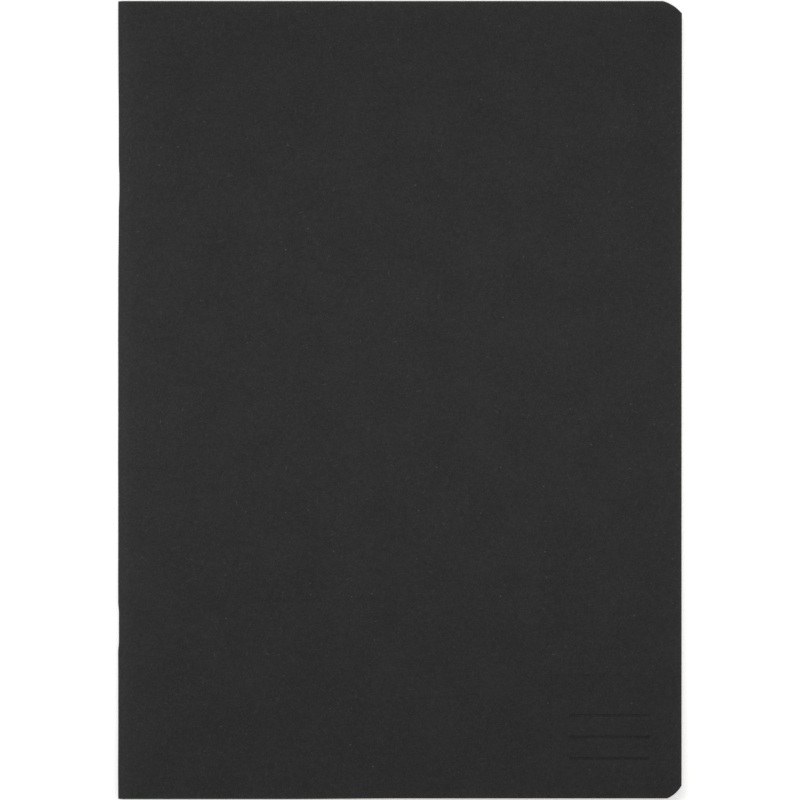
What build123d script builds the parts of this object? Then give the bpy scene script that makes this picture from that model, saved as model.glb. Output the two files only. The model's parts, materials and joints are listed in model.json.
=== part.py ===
"""A4 exercise book, stitched through the fold with two wire staples, lying closed on its back cover.

+X runs from the spine to the fore edge, +Y from the tail to the head, +Z from the back cover to the front.
The origin is under the middle of the closed book. All lengths are in millimetres.
"""

import os

from build123d import *

# The closed book
closed_width = 210.0  # outside of the spine to the fore edge
page_height = 297.0  # tail to head
sheet_count = 16  # folded sheets, two leaves each
paper_thickness = 0.10
leaf_gap = 0.03  # air between two leaves, and between the outer leaf and the cover
cover_thickness = 0.33

# Fore-edge corners, cut by a curved knife that meets both edges at a small angle
head_cut_along = 7.6  # along the head edge
head_cut_down = 5.0  # along the fore edge
head_cut_radius = 12.8
tail_cut_along = 5.5  # along the tail edge
tail_cut_up = 5.1  # along the fore edge
tail_cut_radius = 11.0

# Staples
wire_diameter = 0.45
wire_bend_radius = 0.5  # at the middle of the wire
wire_clearance = 0.03  # from the clinched wire to the centre leaves
hole_clearance = 0.02  # round the wire where it goes through paper and card
crown_length = 11.5  # between the two legs
clinch_length = 4.5  # each point, bent over inside the centre fold
crown_sink = 0.2  # how deep the crown beds into the card
head_to_staple = 69.0
tail_to_staple = 64.0

# The fold
staple_pull = 0.68  # how far a staple draws the folds in
pull_margin = 0.5  # drawn-in length past each leg
pull_run = 5.0  # length over which a fold runs back out
flat_margin = 0.4  # from the drawn-in fold to the flat leaf

# Heights, counted from the hinge line in the middle of the book's thickness
wire_radius = wire_diameter / 2
centre_half_gap = wire_radius + wire_clearance
leaf_pitch = paper_thickness + leaf_gap
cover_inner = centre_half_gap + sheet_count * leaf_pitch
cover_outer = cover_inner + cover_thickness

# Places in the frame
hinge_x = -closed_width / 2 + cover_outer
hinge_z = cover_outer
flat_x = hinge_x + staple_pull + flat_margin
fore_x = closed_width / 2
head_y = page_height / 2
tail_y = -page_height / 2
staple_ys = {"upper": head_y - head_to_staple, "lower": tail_y + tail_to_staple}
clinch_x = hinge_x + staple_pull
crown_x = clinch_x - cover_outer + crown_sink - wire_radius


def leaf(bottom_z, thickness):
    """A flat leaf or cover panel, from the fold to the fore edge, with both corners cut."""
    with BuildPart() as panel:
        with BuildSketch(Plane.XY.offset(bottom_z)):
            with BuildLine():
                Line((flat_x, tail_y), (fore_x - tail_cut_along, tail_y))
                RadiusArc((fore_x - tail_cut_along, tail_y), (fore_x, tail_y + tail_cut_up), -tail_cut_radius)
                Line((fore_x, tail_y + tail_cut_up), (fore_x, head_y - head_cut_down))
                RadiusArc((fore_x, head_y - head_cut_down), (fore_x - head_cut_along, head_y), -head_cut_radius)
                Line((fore_x - head_cut_along, head_y), (flat_x, head_y))
                Line((flat_x, head_y), (flat_x, tail_y))
            make_face()
        extrude(amount=thickness)
    return panel.part


def wire(middle_y, radius):
    """A staple's wire, or the hole that it makes: crown outside the spine, two legs, points bent inwards."""
    low_y = middle_y - crown_length / 2
    high_y = middle_y + crown_length / 2
    with BuildPart() as bent:
        with BuildLine(Plane.XY.offset(hinge_z)) as path:
            FilletPolyline(
                (clinch_x, low_y + clinch_length),
                (clinch_x, low_y),
                (crown_x, low_y),
                (crown_x, high_y),
                (clinch_x, high_y),
                (clinch_x, high_y - clinch_length),
                radius=wire_bend_radius,
            )
        with BuildSketch(Plane(origin=path.line @ 0, z_dir=path.line % 0)):
            Circle(radius)
        sweep()
    return bent.part


def fold_stations():
    """Places along the spine where the fold changes, each with how far it is drawn in there."""
    drawn_half = crown_length / 2 + pull_margin
    stations = [(tail_y, 0.0)]
    for middle_y in sorted(staple_ys.values()):
        stations.append((middle_y - drawn_half - pull_run, 0.0))
        stations.append((middle_y - drawn_half, staple_pull))
        stations.append((middle_y + drawn_half, staple_pull))
        stations.append((middle_y + drawn_half + pull_run, 0.0))
    stations.append((head_y, 0.0))
    return stations


def fold(inner, thickness):
    """A half-round fold that joins two flat leaves, pierced by both staples."""
    outer = inner + thickness
    with BuildPart() as bend:
        for y, pull in fold_stations():
            centre = (hinge_x + pull, hinge_z)
            with BuildSketch(Plane.XZ.offset(-y)):
                with BuildLine():
                    Line((flat_x, hinge_z + outer), (centre[0], hinge_z + outer))
                    CenterArc(centre, outer, 90, 90)
                    CenterArc(centre, outer, 180, 90)
                    Line((centre[0], hinge_z - outer), (flat_x, hinge_z - outer))
                    Line((flat_x, hinge_z - outer), (flat_x, hinge_z - inner))
                    Line((flat_x, hinge_z - inner), (centre[0], hinge_z - inner))
                    CenterArc(centre, inner, 270, -90)
                    CenterArc(centre, inner, 180, -90)
                    Line((centre[0], hinge_z + inner), (flat_x, hinge_z + inner))
                    Line((flat_x, hinge_z + inner), (flat_x, hinge_z + outer))
                make_face()
        loft(ruled=True)
        for hole in staple_holes:
            add(hole, mode=Mode.SUBTRACT)
    return bend.part


def save(piece, name):
    """Label a finished piece and write it under its name."""
    piece.label = name
    export_step(piece, f"parts/{name}.step")


os.makedirs("parts", exist_ok=True)
staple_holes = [wire(y, wire_radius + hole_clearance) for y in staple_ys.values()]

# The card cover: two panels and the crease between them
save(leaf(hinge_z - cover_outer, cover_thickness), "back_cover")
save(leaf(hinge_z + cover_inner, cover_thickness), "front_cover")
save(fold(cover_inner, cover_thickness), "cover_crease")

# The staples
for place, middle_y in staple_ys.items():
    save(wire(middle_y, wire_radius), f"staple_{place}")

# The folded sheets, from the outermost to the one in the centre
for number in range(1, sheet_count + 1):
    inner = centre_half_gap + (sheet_count - number) * leaf_pitch
    save(leaf(hinge_z - inner - paper_thickness, paper_thickness), f"sheet_{number:02d}_back_leaf")
    save(fold(inner, paper_thickness), f"sheet_{number:02d}_fold")
    save(leaf(hinge_z + inner, paper_thickness), f"sheet_{number:02d}_front_leaf")

print("thickness of the closed book:", round(2 * cover_outer, 3))
print("hinge line at x, z:", round(hinge_x, 4), round(hinge_z, 4))
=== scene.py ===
# %% [markdown]
# # A stapled exercise book
# A thin A4 exercise book lies closed on a pale table and is seen from straight above. It is a soft black
# card cover, sixteen folded sheets of writing paper and two wire staples through the fold. A solid model
# with the sizes and the joints is already packed, so the lesson loads it first and then dresses it in place.

import json

import bpy
import numpy as np
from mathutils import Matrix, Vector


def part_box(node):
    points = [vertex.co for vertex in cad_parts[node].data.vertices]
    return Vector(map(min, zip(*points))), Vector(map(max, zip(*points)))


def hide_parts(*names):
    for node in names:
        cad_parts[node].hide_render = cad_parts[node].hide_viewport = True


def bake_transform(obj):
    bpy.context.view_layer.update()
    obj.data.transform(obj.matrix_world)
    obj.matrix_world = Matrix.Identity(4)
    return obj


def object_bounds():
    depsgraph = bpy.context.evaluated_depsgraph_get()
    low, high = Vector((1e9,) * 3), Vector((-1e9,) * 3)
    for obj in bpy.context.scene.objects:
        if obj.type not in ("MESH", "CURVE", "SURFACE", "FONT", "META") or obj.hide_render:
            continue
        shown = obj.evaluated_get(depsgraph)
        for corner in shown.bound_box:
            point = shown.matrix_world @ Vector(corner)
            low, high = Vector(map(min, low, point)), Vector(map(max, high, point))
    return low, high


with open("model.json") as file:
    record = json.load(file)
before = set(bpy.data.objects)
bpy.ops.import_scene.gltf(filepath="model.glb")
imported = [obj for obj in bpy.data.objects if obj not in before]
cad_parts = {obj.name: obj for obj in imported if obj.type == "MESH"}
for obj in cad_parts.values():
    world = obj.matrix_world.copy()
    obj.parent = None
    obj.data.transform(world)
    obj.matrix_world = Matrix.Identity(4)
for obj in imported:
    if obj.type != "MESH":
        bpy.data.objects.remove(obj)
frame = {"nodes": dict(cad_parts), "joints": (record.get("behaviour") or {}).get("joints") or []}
solid_low, solid_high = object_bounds()

# %% [markdown]
# ## Where things are
# A scene could repeat every size of the book, but then the two would drift apart. Sizes that the solids
# already hold are read back from them instead: the line that the book opens about, the edges of the leaves,
# and the place and gauge of the staples. Everything is in metres, with x from the spine to the fore edge,
# y from the tail to the head and z upwards.

# %% Read the book's sizes from the solids
MM = 0.001

cover_turn = next(j for j in frame["joints"] if j["name"] == "front_cover_turn")
hinge_x, _, hinge_z = cover_turn["pos_m"]
panel_low, panel_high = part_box("back_cover")
fore_x = panel_high.x
tail_y = panel_low.y
head_y = panel_high.y
leaf_reach = fore_x - hinge_x
sheet_names = sorted(n.removesuffix("_fold") for n in frame["nodes"] if n.endswith("_fold"))

staple_names = ("staple_upper", "staple_lower")
staple_low, staple_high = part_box(staple_names[0])
wire_radius = (staple_high.z - staple_low.z) / 2
crown_half = (staple_high.y - staple_low.y) / 2 - wire_radius
crown_x = staple_low.x + wire_radius
staple_pull = staple_high.x - wire_radius - hinge_x
staple_ys = [sum(corner.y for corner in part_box(name)) / 2 for name in staple_names]


def fold_radii(flat_node):
    """Inner and outer radius of a fold: how far the two faces of its flat leaf lie under the hinge line."""
    low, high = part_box(flat_node)
    return hinge_z - high.z, hinge_z - low.z


sheet_radii = np.array([fold_radii(f"{name}_back_leaf") for name in sheet_names])
leaf_gap = sheet_radii[0, 0] - sheet_radii[1, 1]

print(f"{len(sheet_names)} sheets, leaves of {leaf_reach / MM:.2f} mm, {leaf_gap / MM:.2f} mm apart")
print(f"wire of {2 * wire_radius / MM:.2f} mm draws the fold in by {staple_pull / MM:.2f} mm")
print("staples at y", [round(y / MM, 1) for y in staple_ys], "mm")

# %% [markdown]
# ## One formula for everything that is folded
# The cover and every sheet are the same thing at different radii: a flat leaf, a half round about the hinge
# line, and a flat leaf back. Modelling them one by one, or bending planes with a modifier, would let them
# cut into each other. One function of two parameters, across and down the sheet, nests them exactly.
# Three things disturb it. The guillotine leaves the edges a hair out of square, with fore-edge corners cut
# by a curved knife that doesn't quite meet the edges at a tangent. The staples draw the fold in. And past
# the clinched wire the two centre leaves close on each other.

# %% Helpers for the cut edges
HEAD_CUT = (7.0 * MM, 4.6 * MM, 14.5 * MM)  # along the head, down the fore edge, radius of the knife
TAIL_CUT = (5.5 * MM, 5.1 * MM, 11.0 * MM)  # along the tail, up the fore edge, radius of the knife
FORE_ASKEW = (0.12 * MM, head_y - 33 * MM, 85 * MM)  # cut back by, from this y downwards, over this run
TAIL_ASKEW = (0.24 * MM, -44 * MM, 46 * MM)  # cut back by, from this x to the right, over this run
CUT_MARGIN = 22 * MM  # points this near an edge move with its cut


def ease(t):
    """Smooth step: 0 below 0, 1 above 1, and 3t² - 2t³ between."""
    t = np.clip(t, 0, 1)
    return t * t * (3 - 2 * t)


def corner_drop(x, along, down, radius):
    """How far the cut lies inside the straight edge at x.

    The cut is an arc of that radius through two points: `along` before the corner on one edge and `down`
    past it on the fore edge. Its centre lies inside the book, on the chord's middle normal.
    """
    chord = np.hypot(along, down)
    rise = np.sqrt(radius**2 - chord**2 / 4)
    centre_x = fore_x - along / 2 - rise * down / chord
    centre_y = -down / 2 - rise * along / chord
    arc = -centre_y - np.sqrt(np.maximum(radius**2 - (x - centre_x) ** 2, 0))
    return np.where(x > fore_x - along, arc, 0)


def trim(x, y):
    """Points of a square sheet, moved so that its edges end where the knife cut them.

    Within CUT_MARGIN of an edge a point moves in by that edge's cut, times a share that grows from 0 to 1
    on the edge. Besides the corners' arcs, the fore edge and the tail are cut back by an amount that
    eases in along them.
    """
    fore_depth, fore_start, fore_run = FORE_ASKEW
    tail_depth, tail_start, tail_run = TAIL_ASKEW
    fore_share, head_share, tail_share = (
        np.clip(1 - inside / CUT_MARGIN, 0, 1) for inside in (fore_x - x, head_y - y, y - tail_y)
    )
    x = x - fore_share * fore_depth * ease((fore_start - y) / fore_run)
    head_cut = corner_drop(x, *HEAD_CUT)
    tail_cut = corner_drop(x, *TAIL_CUT) + tail_depth * ease((x - tail_start) / tail_run)
    return x, y - head_share * head_cut + tail_share * tail_cut


drop_middle = corner_drop(fore_x - HEAD_CUT[0] / 2, *HEAD_CUT) / MM
print(f"head corner: {drop_middle:.2f} mm cut away halfway along")

# %% Helper for a folded sheet
FADE_LENGTH = 12 * MM  # leaf over which a drawn-in fold fades out
CLOSING_START = 1.5 * MM  # leaf that lies beside the clinched wire
CLOSING_RUN = 14 * MM  # leaf over which the sheets then close up


def folded(along, turn, y, radius, drawn_in, closing=0.0):
    """Grid of points on a sheet folded round the hinge line.

    Across the sheet a point lies `along` from the hinge line on a flat leaf, or at the angle `turn` on a
    half round of that radius: 270 degrees is the back leaf, 180 the spine, 90 the front leaf. Past the wire
    a leaf eases towards the middle of the book by `closing`. Down the sheet, at y, the fold moves towards
    the fore edge by drawn_in, which fades out along the leaf.
    """
    angle = np.radians(turn)
    height = radius - closing * ease((along - CLOSING_START) / CLOSING_RUN)
    fade = 1 - ease(along / FADE_LENGTH)
    x = (hinge_x + along + radius * np.cos(angle))[:, None] + fade[:, None] * drawn_in
    z = np.broadcast_to((hinge_z + height * np.sin(angle))[:, None], x.shape)
    return np.stack([*trim(x, np.broadcast_to(y, x.shape)), z], axis=-1)


print(f"a drawn-in fold fades out over {FADE_LENGTH / MM:.0f} mm of leaf")

# %% [markdown]
# ## The wavering spine
# On the real book the spine isn't a ruled line. It wavers by less than a tenth of a millimetre, and at each
# staple it dips, because the wire was pulled tight when it was clinched. The dips aren't alike: the upper
# one lies in a slow valley, and the lower one is a flat notch. Sheets are pulled harder than the stiff card.
# Noise would waver anywhere, so these are smooth bumps along y, each in its own place, and the card never
# dips deeper than the paper under it.

# %% Curves that say how far the fold is drawn in
PULL_FLAT = crown_half + 0.5 * MM  # each side of a staple's middle
PULL_RUN = 5 * MM
CARD_DIPS = ((0.25 * MM, 1.5 * MM, 9.3 * MM), (0.31 * MM, 5.2 * MM, 4.4 * MM))  # depth, flat half, run-out
VALLEY = (staple_ys[0] + 8 * MM, 0.26 * MM, 3 * MM, 55 * MM)  # middle, depth, flat half, run-out
WAVES = ((61 * MM, 0.4), (37 * MM, 2.1), (23 * MM, 4.4))  # wavelength and phase of the spine's waver
WAVER = 0.012 * MM  # half height of each wave


def dip(y, middle, depth, flat_half, run):
    """A smooth valley: full depth within flat_half of its middle, rising to nothing over the run."""
    return depth * (1 - ease((np.abs(y - middle) - flat_half) / run))


def waver(y):
    """Sine waves added, raised so that the fold is only ever drawn in, and stilled near the staples.

    A fold pushed outwards would let the two opened leaves cross at the gutter.
    """
    waves = sum(1 + np.sin(2 * np.pi * y / length + phase) for length, phase in WAVES)
    held = sum(dip(y, middle, 1, PULL_FLAT, PULL_RUN) for middle in staple_ys)
    return WAVER * waves * (1 - held)


def card_drawn_in(y):
    """The waver, the slow valley, and a dip of the card at each staple."""
    dips = sum(dip(y, middle, *sizes) for middle, sizes in zip(staple_ys, CARD_DIPS))
    return waver(y) + dip(y, *VALLEY) + dips


def paper_drawn_in(y):
    """The larger of the card's dip and the staples' full pull."""
    pulled = sum(dip(y, middle, staple_pull, PULL_FLAT, PULL_RUN) for middle in staple_ys)
    return np.maximum(card_drawn_in(y), waver(y) + pulled)


rows = np.linspace(tail_y, head_y, 2000)
print(f"the card dips by up to {card_drawn_in(rows).max() / MM:.2f} mm")
print(f"the paper dips by up to {paper_drawn_in(rows).max() / MM:.2f} mm")

# %% [markdown]
# ## From two grids to a sheet with a thickness
# A Solidify modifier could thicken one surface, but then the fold's two radii and the wire's groove would
# only be near enough. Here a sheet is an outer and an inner grid, joined by a strip along each of the four
# edges. The unrolled sheet gives the UV map, in metres, so that a pattern stays on the paper as it bends.

# %% Helpers for a closed shell
def shell_quads(across, down):
    """Corner numbers of the quads of a closed shell over two grids of that many points.

    Quads of the outer grid run across then down, those of the inner grid the other way round, and
    each edge strip joins a border of the outer grid to the same border of the inner one.
    """
    outer = np.arange(across * down).reshape(across, down)
    inner = outer + across * down

    def strip(a, b):
        """Quads between two rows of points, a to b."""
        return np.stack([a[:-1], b[:-1], b[1:], a[1:]], axis=-1)

    corners = [outer[:-1, :-1], outer[1:, :-1], outer[1:, 1:], outer[:-1, 1:]]
    face = np.stack(corners, axis=-1).reshape(-1, 4)
    strips = [
        strip(outer[:, 0], inner[:, 0]),
        strip(inner[:, -1], outer[:, -1]),
        strip(inner[0], outer[0]),
        strip(outer[-1], inner[-1]),
    ]
    return np.concatenate([face, face[:, ::-1] + across * down, *strips])


def signed_volume(points, quads):
    """Volume inside the quads, positive if they point outwards: a sum of tetrahedra from the origin."""
    a, b, c, d = (points[quads[:, k]] for k in range(4))
    return float((np.cross(a, b) * c).sum() + (np.cross(a, c) * d).sum()) / 6


print("a shell of 3 by 4 points has", len(shell_quads(3, 4)), "quads")

# %% Helper that makes a folded piece
SHARP_ANGLE = np.radians(40)


def folded_piece(name, outer, inner, along, turn, radius, material, **shades):
    """Makes the mesh object of one folded sheet, with its unrolled UV map and any shades given per point.

    Unrolled, a leaf starts a quarter of the fold's round from the middle line. The strips along
    the four edges are marked as cut edges.
    """
    points = np.concatenate([outer.reshape(-1, 3), inner.reshape(-1, 3)])
    quads = shell_quads(*outer.shape[:2])
    mesh = bpy.data.meshes.new(name)
    mesh.from_pydata(points.tolist(), [], quads.tolist())
    mesh.polygons.foreach_set("use_smooth", np.ones(len(quads), bool))
    mesh.set_sharp_from_angle(angle=SHARP_ANGLE)

    unrolled = np.where(turn > 180, -along, along) + radius * np.radians(180 - turn)
    across = np.repeat(unrolled, outer.shape[1])
    flat = np.stack([np.tile(across, 2), points[:, 1]], axis=-1)
    corners = np.zeros(len(mesh.loops), np.int32)
    mesh.loops.foreach_get("vertex_index", corners)
    mesh.uv_layers.new(name="unrolled").data.foreach_set("uv", flat[corners].astype(np.float32).ravel())
    strip_count = 2 * (outer.shape[0] + outer.shape[1] - 2)
    cut_edge = np.arange(len(quads)) >= len(quads) - strip_count
    layer = mesh.attributes.new("cut_edge", "FLOAT", "FACE")
    layer.data.foreach_set("value", cut_edge.astype(np.float32))
    for shade, values in shades.items():
        layer = mesh.attributes.new(shade, "FLOAT", "POINT")
        layer.data.foreach_set("value", np.tile(values.ravel(), 2).astype(np.float32))
    mesh.materials.append(material)
    piece = bpy.data.objects.new(name, mesh)
    bpy.context.scene.collection.objects.link(piece)
    volume = signed_volume(points, quads) / MM**3
    print(f"{name}: {2 * len(quads)} triangles, {volume:.0f} mm³")
    return piece


# %% [markdown]
# ## The bodies on each side of a fold
# The back leaf stays with one body and the front leaf with another, and the fold has to turn between them.
# A fold unrolls evenly when each point turns by the share of the fold that lies before it. Here no blend is
# made: each piece only has its placement baked into its mesh, and the two bodies are named.

# %% Helper that bakes a piece in place
def open_with(piece, back_body, front_body):
    """Bakes a folded piece's placement into its mesh and prints the two bodies on each side of its fold."""
    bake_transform(piece)
    print(f"{piece.name} opens from {back_body} to {front_body}")


# %% [markdown]
# ## Colours and nodes
# Paint charts and photographs give colours as sRGB, but shaders add light up linearly, so one function
# turns a hex value into the linear colour that a socket wants. Node trees could be written link by link.
# One small helper that adds a node with its settings and links keeps each material readable from top to
# bottom.

# %% Helpers for the materials
def colour(hex_code):
    """An sRGB hex value as linear RGBA, by the sRGB standard's two-part curve."""
    srgb = np.array([int(hex_code[k : k + 2], 16) for k in (1, 3, 5)]) / 255
    linear = np.where(srgb <= 0.04045, srgb / 12.92, ((srgb + 0.055) / 1.055) ** 2.4)
    return (*linear.tolist(), 1.0)


def add(tree, kind, inputs=(), **settings):
    """Adds a node with its settings, and sets each of its inputs to a value or links it to a socket."""
    node = tree.nodes.new(kind)
    for name, value in settings.items():
        setattr(node, name, value)
    for name, value in dict(inputs).items():
        if isinstance(value, bpy.types.NodeSocket):
            tree.links.new(value, node.inputs[name])
        else:
            node.inputs[name].default_value = value
    return node


def new_material(name):
    """An empty node material with its shader: (material, tree, principled node)."""
    material = bpy.data.materials.new(name)
    material.use_nodes = True
    return material, material.node_tree, material.node_tree.nodes["Principled BSDF"]


print("mid grey", colour("#808080")[:3])

# %% [markdown]
# ## Black card
# The cover is uncoated card, dyed black in the mass. Up close it is charcoal, not black: a felt of fibres
# that lie all ways, a few of which took the dye badly and show as light strokes and dots, over a sheet
# that is a little cloudy. Edges are rubbed lighter. Along the spine the card is partly rubbed and partly
# lighter with painted light, where the cover turns down towards the window. The floors of the pressed
# lines are darker with painted shade. One noise would look like plastic, so each of these is a layer of
# its own, with a size in millimetres, and together they tilt the colour between two charcoals.

# %% Light flecks in the card
STROKE_CELL = (2.0 * MM, 11.0 * MM)  # a cell has room for one light stroke
STROKE_TURNS = (8, -32, 57, -74)  # degrees from the length of the page
STROKE_SHARE = 0.04  # of the cells that hold one
STROKE_FADE = (0.03, 0.12)  # parts of a cell: full within the first, gone at the second
DOT_CELL = 8 * MM
DOT_SHARE = 0.24
DOT_FADE = (0.014, 0.042)


def flecks(tree, place, scale, share, fade):
    """Light flecks, at most one in each cell of a Voronoi pattern, added as nodes.

    A fleck is full within the first distance of `fade` from its cell's point and gone at the second.
    That share of the cells hold one, each as bright as another random number of its cell.
    """
    laid = {"Vector": place, "Scale": scale}
    cell = add(tree, "ShaderNodeTexVoronoi", laid, voronoi_dimensions="2D").outputs
    near = {"Value": cell["Distance"], "From Min": fade[1], "From Max": fade[0]}
    body = add(tree, "ShaderNodeMapRange", near, interpolation_type="SMOOTHSTEP").outputs[0]
    chance = add(tree, "ShaderNodeSeparateColor", {"Color": cell["Color"]}).outputs
    kept = add(tree, "ShaderNodeMath", {0: chance["Red"], 1: share}, operation="LESS_THAN").outputs[0]
    light = add(tree, "ShaderNodeMath", {0: kept, 1: chance["Green"]}, operation="MULTIPLY").outputs[0]
    return add(tree, "ShaderNodeMath", {0: body, 1: light}, operation="MULTIPLY").outputs[0]


print(f"strokes in {STROKE_SHARE:.0%} of their cells, dots in {DOT_SHARE:.0%}")

# %% Material of the cover
FELT_FIBRE = (0.4 * MM, 1.3 * MM)  # real fibres are finer; at 0.4 mm to the pixel they wouldn't show
FELT_TURNS = (10, 70, 130)  # degrees from the length of the page
FELT_POWER = 4  # lets the lightest fibres stand out
MOTTLE_SIZE = 2.6 * MM
CLOUD_SIZE = 16 * MM
CARD_RELIEF = 0.03 * MM
STROKE_RELIEF = 0.5  # against the felt
TONE_BASE = -0.055
# Weights of the felt, mottle, cloud, strokes, dots, rubbing with painted light along the spine,
# and painted shade in the pressed lines
TONE_WEIGHTS = (2.2, 0.35, 0.26, 0.7, 1.9, 0.5, -0.16)


def black_card():
    """Uncoated black card that never shines: felted charcoal, rubbed edges, painted light at the spine,
    painted shade in pressed lines.
    """
    material, tree, shader = new_material("black_uncoated_card")
    sheet = add(tree, "ShaderNodeUVMap", uv_map="unrolled").outputs["UV"]

    felt = 0.0
    for degrees in FELT_TURNS:
        lie = {"Vector": sheet, "Rotation": (0, 0, np.radians(degrees)), "Scale": (*FELT_FIBRE, 1)}
        place = add(tree, "ShaderNodeMapping", lie, vector_type="TEXTURE").outputs[0]
        fibres = add(tree, "ShaderNodeTexNoise", {"Vector": place, "Scale": 1, "Detail": 2}).outputs["Fac"]
        felt = add(tree, "ShaderNodeMath", {0: fibres, 1: felt}, operation="MAXIMUM").outputs[0]
    lit_felt = add(tree, "ShaderNodeMath", {0: felt, 1: FELT_POWER}, operation="POWER").outputs[0]
    mottle = add(tree, "ShaderNodeTexNoise", {"Vector": sheet, "Scale": 1 / MOTTLE_SIZE, "Detail": 2})
    cloud = add(tree, "ShaderNodeTexNoise", {"Vector": sheet, "Scale": 1 / CLOUD_SIZE, "Detail": 2})

    strokes = 0.0
    for degrees in STROKE_TURNS:
        lie = {"Vector": sheet, "Rotation": (0, 0, np.radians(degrees)), "Scale": (*STROKE_CELL, 1)}
        place = add(tree, "ShaderNodeMapping", lie, vector_type="TEXTURE").outputs[0]
        more = flecks(tree, place, 1, STROKE_SHARE, STROKE_FADE)
        strokes = add(tree, "ShaderNodeMath", {0: strokes, 1: more}, operation="ADD").outputs[0]
    dots = flecks(tree, sheet, 1 / DOT_CELL, DOT_SHARE, DOT_FADE)

    # Rubbed edges; along the spine this layer is also painted light
    rubbing_and_light = add(tree, "ShaderNodeAttribute", attribute_name="rubbed_and_lit").outputs["Fac"]
    rubbed_and_lit = add(tree, "ShaderNodeMath", {0: rubbing_and_light, 1: felt}, operation="MULTIPLY").outputs[0]
    # Painted shade on the floors of the pressed lines
    pressed_and_shaded = add(tree, "ShaderNodeAttribute", attribute_name="pressed_and_shaded").outputs["Fac"]

    tone = TONE_BASE
    layers = (lit_felt, mottle.outputs["Fac"], cloud.outputs["Fac"], strokes, dots, rubbed_and_lit, pressed_and_shaded)
    for layer, weight in zip(layers, TONE_WEIGHTS):
        added = {0: layer, 1: weight, 2: tone}
        tone = add(tree, "ShaderNodeMath", added, operation="MULTIPLY_ADD").outputs[0]
    charcoals = {0: tone, 6: colour("#171717"), 7: colour("#363636")}
    tint = add(tree, "ShaderNodeMix", charcoals, data_type="RGBA", clamp_factor=False).outputs[2]
    tree.links.new(tint, shader.inputs["Base Color"])

    raised = {0: strokes, 1: STROKE_RELIEF, 2: felt}
    height = add(tree, "ShaderNodeMath", raised, operation="MULTIPLY_ADD").outputs[0]
    relief = {"Height": height, "Strength": 0.5, "Distance": CARD_RELIEF}
    tree.links.new(add(tree, "ShaderNodeBump", relief).outputs[0], shader.inputs["Normal"])
    shader.inputs["Roughness"].default_value = 0.88
    shader.inputs["Specular IOR Level"].default_value = 0.15
    return material


card = black_card()
print(card.name, len(card.node_tree.nodes), "nodes")

# %% [markdown]
# ## Writing paper
# The leaves are uncoated writing paper of 80 grams, cream white and a little cloudy, printed with pale
# grey-blue ruling 8 mm apart. Lines could be geometry, but ink has no height, so they are drawn in the
# material from the distance down the page, and stop short of the fore edge. A real line is a fifth of a
# millimetre; it is drawn twice as wide here, so that it shows when the whole book is in view. Along the fold
# a soft grey band is painted shade, for the shadow in the gutter of the open book.

# %% Material of the pages
RULE_PITCH = 8 * MM
RULE_WIDTH = 0.4 * MM
RULE_EDGE = (0.35 * RULE_WIDTH, 0.65 * RULE_WIDTH)  # ink is full within the first and gone at the second
FIRST_RULE = head_y - 24 * MM
LAST_RULE = tail_y + 13 * MM
RULE_END = leaf_reach - 2 * MM  # out from the fold
# Painted shade along the fold, for the shadow in the gutter
GUTTER_SHADE = (0.5 * MM, 1.8 * MM)  # out from the fold: full within the first, gone at the second
PAPER_CLOUD = 4 * MM
PAPER_TOOTH = 0.25 * MM
PAPER_RELIEF = 0.01 * MM


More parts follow.
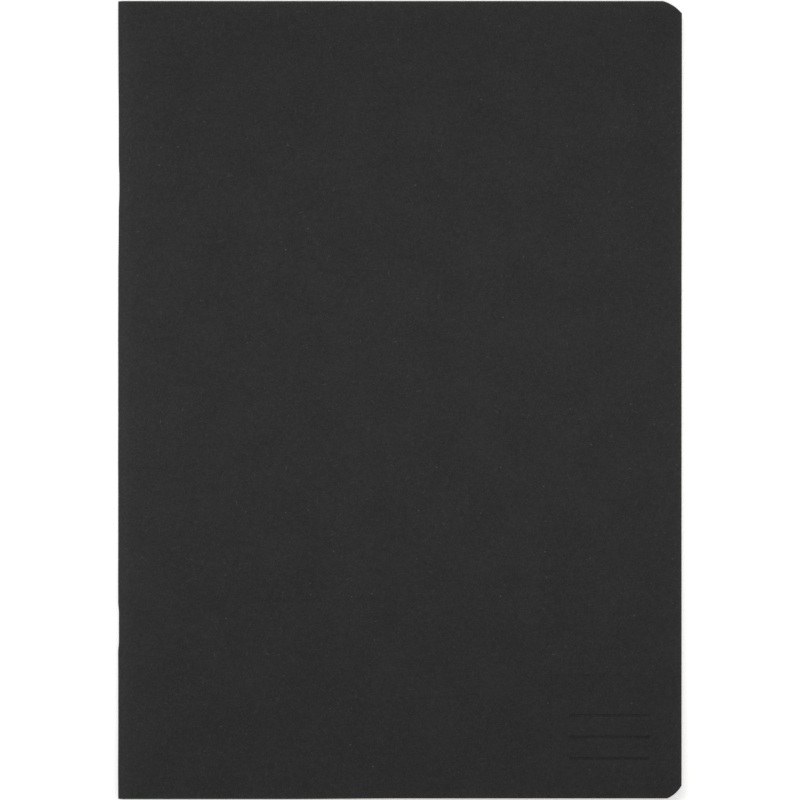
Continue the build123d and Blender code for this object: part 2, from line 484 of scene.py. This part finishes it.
def writing_paper():
    """Uncoated writing paper: warm white and matt, softly cloudy, with a fine tooth.

    It is ruled, with painted shade along the fold for the shadow in the gutter.
    """
    material, tree, shader = new_material("ruled_writing_paper")
    sheet = add(tree, "ShaderNodeUVMap", uv_map="unrolled").outputs["UV"]
    cloud = add(tree, "ShaderNodeTexNoise", {"Vector": sheet, "Scale": 1 / PAPER_CLOUD, "Detail": 5})
    whites = {0: cloud.outputs["Fac"], 6: colour("#EAE6DB"), 7: colour("#F4F1E8")}
    white = add(tree, "ShaderNodeMix", whites, data_type="RGBA").outputs[2]

    across, down, _ = add(tree, "ShaderNodeSeparateXYZ", {"Vector": sheet}).outputs
    out = add(tree, "ShaderNodeMath", {0: across}, operation="ABSOLUTE").outputs[0]
    below = add(tree, "ShaderNodeMath", {0: FIRST_RULE, 1: down}, operation="SUBTRACT").outputs[0]
    nearest = add(tree, "ShaderNodeMath", {0: below, 1: RULE_PITCH / 2}, operation="PINGPONG").outputs[0]
    near = {"Value": nearest, "From Min": RULE_EDGE[1], "From Max": RULE_EDGE[0]}
    line = add(tree, "ShaderNodeMapRange", near).outputs[0]
    limits = (
        ({0: below, 1: -RULE_WIDTH}, "GREATER_THAN"),
        ({0: down, 1: LAST_RULE}, "GREATER_THAN"),
        ({0: out, 1: RULE_END}, "LESS_THAN"),
    )
    for compared, test in limits:
        inside = add(tree, "ShaderNodeMath", compared, operation=test).outputs[0]
        line = add(tree, "ShaderNodeMath", {0: line, 1: inside}, operation="MULTIPLY").outputs[0]
    inks = {0: line, 6: white, 7: colour("#A9B6C4")}
    printed = add(tree, "ShaderNodeMix", inks, data_type="RGBA").outputs[2]

    # Painted shade in the gutter: a soft grey band along the fold
    near = {"Value": out, "From Min": GUTTER_SHADE[1], "From Max": GUTTER_SHADE[0]}
    crease = add(tree, "ShaderNodeMapRange", near, interpolation_type="SMOOTHSTEP").outputs[0]
    gutter_shading = {0: crease, 6: printed, 7: colour("#E2E0DC")}
    gutter_shaded = add(tree, "ShaderNodeMix", gutter_shading, data_type="RGBA", blend_type="MULTIPLY").outputs[2]
    cut_edge = add(tree, "ShaderNodeAttribute", attribute_name="cut_edge").outputs["Fac"]
    page = {0: cut_edge, 6: gutter_shaded, 7: colour("#E4E0D5")}
    tint = add(tree, "ShaderNodeMix", page, data_type="RGBA").outputs[2]
    tree.links.new(tint, shader.inputs["Base Color"])

    tooth = add(tree, "ShaderNodeTexNoise", {"Vector": sheet, "Scale": 1 / PAPER_TOOTH, "Detail": 3})
    relief = {"Height": tooth.outputs["Fac"], "Strength": 0.4, "Distance": PAPER_RELIEF}
    tree.links.new(add(tree, "ShaderNodeBump", relief).outputs[0], shader.inputs["Normal"])
    shader.inputs["Roughness"].default_value = 0.85
    shader.inputs["Specular IOR Level"].default_value = 0.25
    return material


paper = writing_paper()
print(paper.name, len(paper.node_tree.nodes), "nodes")

# %% [markdown]
# ## Stitching wire
# The staples are cut from a reel of galvanised steel wire. Zinc dulls it to a pale grey, and the die that
# it was drawn through leaves fine marks along it. A curve with a round bevel could stand for it, but the
# solid's own bent wire is right, so only its finish is made.

# %% Material of the staples
ZINC_MOTTLE = 0.6 * MM
DRAW_MARK = (0.06 * MM, 2.5 * MM, 0.06 * MM)  # along y, the way that the crown lies
WIRE_ROUGHNESS = (0.26, 0.46)


def galvanised_wire():
    """Galvanised steel wire: a pale grey metal, satin, with cloudy zinc and fine marks along the draw."""
    material, tree, shader = new_material("galvanised_stitching_wire")
    place = add(tree, "ShaderNodeTexCoord").outputs["Object"]
    zinc = add(tree, "ShaderNodeTexNoise", {"Vector": place, "Scale": 1 / ZINC_MOTTLE, "Detail": 3})
    greys = {0: zinc.outputs["Fac"], 6: colour("#9FA2A5"), 7: colour("#C9CBCD")}
    tint = add(tree, "ShaderNodeMix", greys, data_type="RGBA").outputs[2]
    tree.links.new(tint, shader.inputs["Base Color"])
    drawn = {"Vector": place, "Scale": tuple(1 / size for size in DRAW_MARK)}
    along_wire = add(tree, "ShaderNodeMapping", drawn).outputs[0]
    marks = add(tree, "ShaderNodeTexNoise", {"Vector": along_wire, "Scale": 1, "Detail": 2}).outputs["Fac"]
    rough = {"Value": marks, "To Min": WIRE_ROUGHNESS[0], "To Max": WIRE_ROUGHNESS[1]}
    tree.links.new(add(tree, "ShaderNodeMapRange", rough).outputs[0], shader.inputs["Roughness"])
    shader.inputs["Metallic"].default_value = 1.0
    return material


wire = galvanised_wire()
for name in staple_names:
    staple = frame["nodes"][name]
    staple.data.materials.clear()
    staple.data.materials.append(wire)
print("staples finished in", wire.name)

# %% [markdown]
# ## The cover
# The cover is one piece of card round the whole book. It could be a plane with a Subdivision Surface, but
# that is as fine on the plain panels as on the fold. Here the lines of the grid are spaced by what they
# carry: close together on the fold, along the wire and at the corners, and wide apart on the panels. Down
# the fold the sheets will share its rows, so that they nest between the rows as well as on them.

# %% Lines of the cover's grid
NOTE_MIDDLE = (78 * MM, -125.5 * MM)  # of the three lines that are pressed into the front
NOTE_HALF = 14.5 * MM
NOTE_PITCH = 8 * MM
NOTE_HALF_WIDTH = 0.75 * MM
note_ys = [NOTE_MIDDLE[1] + step * NOTE_PITCH for step in (1, 0, -1)]
note_ends = [NOTE_MIDDLE[0] - hinge_x + side * NOTE_HALF for side in (-1, 1)]
crown_ends = [middle + side * crown_half for middle in staple_ys for side in (-1, 1)]

# Bands of close lines, to each side of a staple, a crown's end, a pressed line and the spine's middle
STAPLE_BAND = 12 * MM
CROWN_END_BAND = 0.36 * MM
NOTE_BAND = 1.1 * NOTE_HALF_WIDTH
GROOVE_BAND = 8  # degrees
# Bands of close lines, in from the head and the tail and in from the fore edge
CARD_END_BAND = 4 * MM
CORNER_BAND = 9 * MM
CARD_START = 0.4 * MM  # first line beside the fold


def lines(*runs):
    """Grid lines from runs of (from, to, count), sorted, with doubles to the micrometre taken out."""
    values = np.concatenate([np.linspace(*run) for run in runs])
    return np.unique(np.round(values, 6))


def around(middles, half, count):
    """Runs of that many lines within half of each middle."""
    return [(middle - half, middle + half, count) for middle in middles]


fold_rows = [(tail_y, head_y, 61), *around(staple_ys, STAPLE_BAND, 25)]
card_rows = lines(
    *fold_rows,
    (tail_y, tail_y + CARD_END_BAND, 9),
    (head_y - CARD_END_BAND, head_y, 9),
    *around(crown_ends, CROWN_END_BAND, 13),
    *around(note_ys, NOTE_BAND, 15),
)
card_lines = [
    (CARD_START, FADE_LENGTH, 12),
    (FADE_LENGTH, leaf_reach - CORNER_BAND, 26),
    (leaf_reach - CORNER_BAND, leaf_reach, 19),
]
back_lines = lines(*card_lines)
front_lines = lines(*card_lines, *around(note_ends, NOTE_BAND, 15))
card_turns = lines((90, 270, 46), *around([180], GROOVE_BAND, 25))[::-1]
card_along = np.concatenate([back_lines[::-1], np.zeros(len(card_turns)), front_lines])
card_turn = np.concatenate([np.full(len(back_lines), 270), card_turns, np.full(len(front_lines), 90)])
print("cover grid:", len(card_along), "lines across,", len(card_rows), "down")

# %% [markdown]
# ## Pressed card
# A real cover is pressed in two places. The crown of each staple beds into the spine, and low on the front
# three blank lines are pressed in for the owner to write on. A Boolean would cut the card open there, and
# a bump would vanish from the side. So the points themselves move: out of a round groove along the wire,
# and down by a depth that eases in over the wall of each line.

# %% Shape the card and press it
BED_CLEARANCE = 0.012 * MM
CARD_UNDER_WIRE = 0.10 * MM
NOTE_WALL = 0.45 * MM
NOTE_DEPTH = 0.2 * MM


def bed(points, radius):
    """Moves points inwards out of a round groove of that radius along the middle of each crown.

    At a distance d from the crown's middle line, the groove's floor lies sqrt(radius² - d²) inside it.
    """
    x, y, z = np.moveaxis(points, -1, 0)
    for middle in staple_ys:
        past_end = np.maximum(np.abs(y - middle) - crown_half, 0)
        distance = np.hypot(past_end, z - hinge_z)
        floor = crown_x + np.sqrt(np.maximum(radius**2 - distance**2, 0))
        x = np.where(distance < radius, np.maximum(x, floor), x)
    return np.stack([x, y, z], axis=-1)


def note_press(x, y):
    """Share of the depth that the blank lines are pressed in: 1 on a floor, easing to 0 up its wall."""
    past_end = np.maximum(np.abs(x - NOTE_MIDDLE[0]) - NOTE_HALF, 0)
    floor_half = NOTE_HALF_WIDTH - NOTE_WALL
    shares = [1 - ease((np.hypot(past_end, y - line_y) - floor_half) / NOTE_WALL) for line_y in note_ys]
    return np.max(shares, axis=0)


card_inner, card_outer = fold_radii("back_cover")
card_in = card_drawn_in(card_rows)
outside = folded(card_along, card_turn, card_rows, card_outer, card_in)
inside = folded(card_along, card_turn, card_rows, card_inner, card_in)
outside = bed(outside, wire_radius + BED_CLEARANCE)
inside = bed(inside, wire_radius + BED_CLEARANCE + CARD_UNDER_WIRE)
on_front = (card_turn == 90) & (card_along > 0)
# This share presses the lines in and, in the card's material, paints shade on their floors
pressed_and_shaded = np.where(on_front[:, None], note_press(outside[..., 0], outside[..., 1]), 0)
outside[..., 2] -= NOTE_DEPTH * pressed_and_shaded
print(np.count_nonzero(pressed_and_shaded), "of", pressed_and_shaded.size, "points lie in the pressed lines")

# %% [markdown]
# ## Rubbed edges and painted light at the spine
# Card goes grey where hands and shelves rub it: along the cut edges, most at the head, and over the round
# of the spine. A broader band beside the spine is lighter as well. That band is painted light, where the
# cover turns down towards the window. Wear could be painted, or found from how sharply the surface bends.
# Here every point of the grid knows how far it lies from the edges, so the rubbing and the painted light
# are a few fadings added up and kept on the points, where the card's material reads them.

# %% Rub the edges, paint light along the spine and make the cover
EDGE_WEAR = ((0.7, 0.4 * MM), (0.5, 1.1 * MM), (0.35, 4 * MM))  # share and reach of each fading
# Over the spine: a narrow fading of rubbing and painted light, and a broad one of painted light
SPINE_WEAR_AND_LIGHT = ((0.45, 1.5 * MM), (0.55, 11 * MM))
HEAD_WEAR = 1.3  # against the fore edge
TAIL_WEAR = 0.75


def wear_and_light(distance, fadings):
    """Lightening at a distance from an edge, from rubbing and, at the spine, painted light: the sum of share
    × exp(-distance / reach).
    """
    return sum(share * np.exp(-distance / reach) for share, reach in fadings)


# Across: rubbing at the fore edge, and rubbing with painted light along the spine
rubbed_and_lit_across = np.maximum(wear_and_light(leaf_reach - card_along, EDGE_WEAR), wear_and_light(card_along, SPINE_WEAR_AND_LIGHT))
rubbed_down = np.maximum(
    HEAD_WEAR * wear_and_light(head_y - card_rows, EDGE_WEAR), TAIL_WEAR * wear_and_light(card_rows - tail_y, EDGE_WEAR)
)
# Shades for the card: rubbing with painted light at the spine, and painted shade in the pressed lines
shades = {"rubbed_and_lit": np.maximum(rubbed_and_lit_across[:, None], rubbed_down[None, :]), "pressed_and_shaded": pressed_and_shaded}
cover = folded_piece("cover", outside, inside, card_along, card_turn, card_outer, card, **shades)
open_with(cover, "back_cover", "front_cover")
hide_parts("back_cover", "cover_crease", "front_cover")

# %% [markdown]
# ## The sheets
# Sixteen sheets are folded together, each a leaf at the back and a leaf at the front. A block with lines
# drawn on it would do for a closed book, but this one opens, so every sheet is a thin shell of its own,
# at the radius that its solid has. The clinched wire holds the centre leaves apart, and past it each sheet
# closes up by its share of that gap. The guillotine never cuts them perfectly flush, so each sheet's
# fore edge stands back by up to an eighth of a millimetre.

# %% Lines of the sheets' grid
PAGE_END_BAND = 6 * MM
PAGE_START = 0.3 * MM  # first line beside the fold
closed_at = CLOSING_START + CLOSING_RUN

page_rows = lines(
    *fold_rows,
    (tail_y, tail_y + PAGE_END_BAND, 5),
    (head_y - PAGE_END_BAND, head_y, 5),
)
page_lines = lines(
    (PAGE_START, CLOSING_START, 4),
    (CLOSING_START, closed_at, 10),
    (closed_at, leaf_reach - CORNER_BAND, 13),
    (leaf_reach - CORNER_BAND, leaf_reach, 13),
)
page_turns = np.linspace(270, 90, 25)
page_turn = np.concatenate([np.full(len(page_lines), 270), page_turns, np.full(len(page_lines), 90)])
print("sheet grid:", len(page_turn), "lines across,", len(page_rows), "down")

# %% Make the sheets
UNEVEN_TRIM = 0.12 * MM
stand_back = np.random.default_rng(16).uniform(0, UNEVEN_TRIM, (len(sheet_names), 2))
page_in = paper_drawn_in(page_rows)
inner_radii = sheet_radii[:, 0]
centre_share = (inner_radii[0] - inner_radii) / (inner_radii[0] - inner_radii[-1])
closings = centre_share * (inner_radii[-1] - leaf_gap / 2)

for name, radii, closing, trims in zip(sheet_names, sheet_radii, closings, stand_back):
    back_along, front_along = (page_lines * (1 - trim_back / leaf_reach) for trim_back in trims)
    along = np.concatenate([back_along[::-1], np.zeros(len(page_turns)), front_along])
    inside, outside = (folded(along, page_turn, page_rows, radius, page_in, closing) for radius in radii)
    sheet = folded_piece(name, outside, inside, along, page_turn, radii[1], paper)
    open_with(sheet, f"{name}_back_leaf", f"{name}_front_leaf")
    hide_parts(f"{name}_back_leaf", f"{name}_fold", f"{name}_front_leaf")

# %% [markdown]
# ## The table
# The book is photographed on plain white. Stronger lamps would whiten the ground and bleach the card with
# it. So the table is matt white and shows brighter to the camera than it is, and more so far from the
# book, where the lamp doesn't reach. That makes the ground white and keeps the shadow at the edges.

# %% Lay the table
TABLE_SIZE = 12.0
TABLE_DROP = 0.1 * MM
TABLE_LIFT = (0.36, 0.52)  # brightness that the camera adds to the table, near the book and far from it
LIFT_RUN = (0.2, 0.7)  # metres from the middle of the book


def seen_directly(tree):
    """1 for rays from the camera, and from mirrors and glass, which should show the same ground; else 0."""
    path = add(tree, "ShaderNodeLightPath").outputs
    seen = path["Is Camera Ray"]
    for ray in ("Is Glossy Ray", "Is Transmission Ray"):
        seen = add(tree, "ShaderNodeMath", {0: seen, 1: path[ray]}, operation="MAXIMUM").outputs[0]
    return seen


def white_table():
    """Matt white table: it takes the shadow, and shows a little brighter to the camera."""
    material, tree, shader = new_material("matt_white_table")
    shader.inputs["Base Color"].default_value = colour("#FAFAFA")
    shader.inputs["Roughness"].default_value = 1.0
    shader.inputs["Specular IOR Level"].default_value = 0.0
    shader.inputs["Emission Color"].default_value = colour("#FFFFFF")
    place = add(tree, "ShaderNodeTexCoord").outputs["Object"]
    far = add(tree, "ShaderNodeVectorMath", {0: place}, operation="LENGTH").outputs["Value"]
    run = {"Value": far, "From Min": LIFT_RUN[0], "From Max": LIFT_RUN[1]}
    rise = {"To Min": TABLE_LIFT[0], "To Max": TABLE_LIFT[1]}
    lift = add(tree, "ShaderNodeMapRange", run | rise).outputs[0]
    shown = {0: seen_directly(tree), 1: lift}
    glow = add(tree, "ShaderNodeMath", shown, operation="MULTIPLY").outputs[0]
    tree.links.new(glow, shader.inputs["Emission Strength"])
    return material


corner = TABLE_SIZE / 2
table_mesh = bpy.data.meshes.new("table")
table_points = [(sx * corner, sy * corner, -TABLE_DROP) for sx, sy in ((-1, -1), (1, -1), (1, 1), (-1, 1))]
table_mesh.from_pydata(table_points, [], [(0, 1, 2, 3)])
table_mesh.materials.append(white_table())
table = bpy.data.objects.new("table", table_mesh)
bpy.context.scene.collection.objects.link(table)
print(f"table {TABLE_SIZE:.0f} m wide")

# %% [markdown]
# ## The light
# One lamp alone would leave hard shadows, and a sky alone would flatten the grain. A soft sky and a long
# lamp over the middle of the book give most of the light, and the lamp lets it fall off a little towards
# the head and the tail. A broad window from the upper left gives the pressed lines and the grain their
# shade. Together they add up to a level at which white paper comes out white and nothing clips.

# %% Set the sky, the window and the lamp
SKY = 0.38
WINDOW_POWER = 0.67
WINDOW_TURN = (-38, -26, 0)  # degrees
WINDOW_SPREAD = 40  # degrees of sky that the window fills
LAMP_PLACE = (-0.03, 0.04, 0.3)
LAMP_SIZE = (0.9, 0.1)
LAMP_POWER = 0.85

world = bpy.data.worlds.new("studio")
world.use_nodes = True
sky = world.node_tree.nodes["Background"]
direct = seen_directly(world.node_tree)
level = add(world.node_tree, "ShaderNodeMapRange", {"Value": direct, "To Min": SKY, "To Max": 1.0})
world.node_tree.links.new(level.outputs[0], sky.inputs["Strength"])
sky.inputs["Color"].default_value = colour("#FFFFFF")
bpy.context.scene.world = world

window = bpy.data.lights.new("window", "SUN")
window.energy = WINDOW_POWER
window.angle = np.radians(WINDOW_SPREAD)
window_object = bpy.data.objects.new("window", window)
window_object.rotation_euler = np.radians(WINDOW_TURN)
bpy.context.scene.collection.objects.link(window_object)

lamp = bpy.data.lights.new("overhead_lamp", "AREA")
lamp.energy = LAMP_POWER
lamp.shape = "RECTANGLE"
lamp.size, lamp.size_y = LAMP_SIZE
lamp_object = bpy.data.objects.new("overhead_lamp", lamp)
lamp_object.location = LAMP_PLACE
lamp_object.visible_camera = False
bpy.context.scene.collection.objects.link(lamp_object)
print("sky", SKY, "window", WINDOW_POWER, "lamp", LAMP_POWER)

# %% [markdown]
# ## The camera
# The photograph looks straight down with the book's head at the top, and the book fills the frame from
# edge to edge. A camera close above would show the page edges. A long lens two metres up keeps them hidden,
# as they are there. The distance follows from the width that the frame covers at the front cover's height.

# %% Place the camera
FRAME_WIDTH = 297.7 * MM  # what the frame covers at the front cover
FRAME_MIDDLE = (0.07 * MM, 0.03 * MM)
LENS = 240
SENSOR = 36

camera = bpy.data.cameras.new("camera")
camera.lens = LENS
camera.sensor_width = SENSOR
camera_object = bpy.data.objects.new("camera", camera)
camera_object.location = (*FRAME_MIDDLE, solid_high.z + FRAME_WIDTH * LENS / SENSOR)
bpy.context.scene.collection.objects.link(camera_object)
bpy.context.scene.camera = camera_object
bpy.context.scene.view_settings.view_transform = "Standard"
print(f"camera {camera_object.location.z:.3f} m up")
